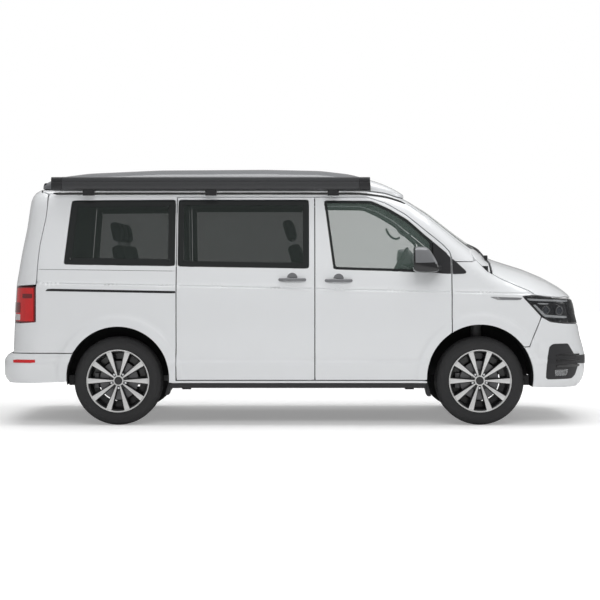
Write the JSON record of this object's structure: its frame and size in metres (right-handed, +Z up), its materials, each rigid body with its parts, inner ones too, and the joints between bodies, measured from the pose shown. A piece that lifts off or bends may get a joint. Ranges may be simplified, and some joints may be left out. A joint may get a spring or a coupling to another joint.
{
  "type": "camper van",
  "caption": "One-box camper van with elevating sleeping roof, side awning, sliding side door, hinged front doors, tailgate, bonnet and steered front wheels.",
  "frame": {"origin": "on the ground, under the middle of the overall box", "axes": "+X forwards, +Y to the van's left, +Z up"},
  "size_m": [4.9, 2.294, 2.121],
  "materials": {
    "paint": "gloss",
    "underbody": "matte",
    "black_plastic": "satin",
    "dark_glass": "gloss",
    "clear_glass": "gloss",
    "lamp": "gloss",
    "tail_lamp": "gloss",
    "mirror_case": "satin",
    "steel": "satin",
    "awning": "satin",
    "roof_shell": "satin",
    "canvas": "woven",
    "cast": "rough",
    "cabin_plastic": "matte",
    "seat_cloth": "woven",
    "tyre": "matte",
    "alloy": "machined"
  },
  "bodies": {
    "body": {"roof_panel": "paint", "side_panel_left": "paint", "side_panel_right": "paint", "floor_pan": "underbody", "wheel_liners": "black_plastic", "front_wings": "paint", "front_bumper": "paint", "rear_bumper": "paint", "sliding_door": "paint", "side_windows": "dark_glass", "windscreen": "clear_glass", "headlamps": "lamp", "tail_lamps": "tail_lamp", "grilles": "black_plastic", "hinge_brackets": "steel", "door_rail": "black_plastic", "awning_case": "awning", "roof_canvas": "canvas", "roof_rails": "black_plastic", "front_subframe": "underbody", "rear_axle": "underbody", "engine_block": "cast", "exhaust": "steel", "dashboard": "cabin_plastic", "front_seats": "seat_cloth", "rear_bench": "seat_cloth", "sill_trims": "black_plastic", "wipers": "black_plastic"},
    "front_door_left": {"front_door_left": "paint", "front_door_glass_left": "clear_glass", "mirror_left": "mirror_case"},
    "front_door_right": {"front_door_right": "paint", "front_door_glass_right": "clear_glass", "mirror_right": "mirror_case"},
    "tailgate": {"tailgate": "paint", "tailgate_glass": "dark_glass"},
    "bonnet": {"bonnet": "paint"},
    "pop_roof": {"pop_roof": "roof_shell"},
    "knuckle_left": {"knuckle_left": "cast"},
    "knuckle_right": {"knuckle_right": "cast"},
    "wheel_front_left": {"tyre_front_left": "tyre", "wheel_front_left": "alloy"},
    "wheel_front_right": {"tyre_front_right": "tyre", "wheel_front_right": "alloy"},
    "wheel_rear_left": {"tyre_rear_left": "tyre", "wheel_rear_left": "alloy"},
    "wheel_rear_right": {"tyre_rear_right": "tyre", "wheel_rear_right": "alloy"},
    "steering_wheel": {"steering_wheel": "cabin_plastic"}
  },
  "joints": [
    {"name": "wheel_front_left_spin", "type": "hinge", "parent": "knuckle_left", "child": "wheel_front_left", "pos_m": [1.5, 0.817, 0.362], "axis": [0, 1, 0], "continuous": true},
    {"name": "wheel_front_right_spin", "type": "hinge", "parent": "knuckle_right", "child": "wheel_front_right", "pos_m": [1.5, -0.817, 0.362], "axis": [0, 1, 0], "continuous": true},
    {"name": "wheel_rear_left_spin", "type": "hinge", "parent": "body", "child": "wheel_rear_left", "pos_m": [-1.455, 0.817, 0.362], "axis": [0, 1, 0], "continuous": true},
    {"name": "wheel_rear_right_spin", "type": "hinge", "parent": "body", "child": "wheel_rear_right", "pos_m": [-1.455, -0.817, 0.362], "axis": [0, 1, 0], "continuous": true},
    {"name": "steer_left", "type": "hinge", "parent": "body", "child": "knuckle_left", "pos_m": [1.5, 0.77, 0.362], "axis": [0, 0, 1], "range_deg": [-30, 30]},
    {"name": "steer_right", "type": "hinge", "parent": "body", "child": "knuckle_right", "pos_m": [1.5, -0.77, 0.362], "axis": [0, 0, 1], "range_deg": [-30, 30]},
    {"name": "front_door_left_hinge", "type": "hinge", "parent": "body", "child": "front_door_left", "pos_m": [1.245, 0.94, 1], "axis": [0, 0, -1], "range_deg": [0, 70]},
    {"name": "front_door_right_hinge", "type": "hinge", "parent": "body", "child": "front_door_right", "pos_m": [1.245, -0.94, 1], "axis": [0, 0, 1], "range_deg": [0, 70]},
    {"name": "tailgate_hinge", "type": "hinge", "parent": "body", "child": "tailgate", "pos_m": [-2.147, 0, 1.933], "axis": [0, 1, 0], "range_deg": [0, 85]},
    {"name": "bonnet_hinge", "type": "hinge", "parent": "body", "child": "bonnet", "pos_m": [1.637, 0, 1.34], "axis": [0, -1, 0], "range_deg": [0, 50]},
    {"name": "pop_roof_hinge", "type": "hinge", "parent": "body", "child": "pop_roof", "pos_m": [-2.065, 0, 1.971], "axis": [0, -1, 0], "range_deg": [0, 21]},
    {"name": "steering_wheel_turn", "type": "hinge", "parent": "body", "child": "steering_wheel", "pos_m": [0.91, 0.39, 1.3], "axis": [-0.8829, 0, 0.4695], "range_deg": [-480, 480]}
  ],
  "couplings": [
    {"joint": "steer_right", "follows": "steer_left", "ratio": 1},
    {"joint": "steering_wheel_turn", "follows": "steer_left", "ratio": 15.5}
  ]
}
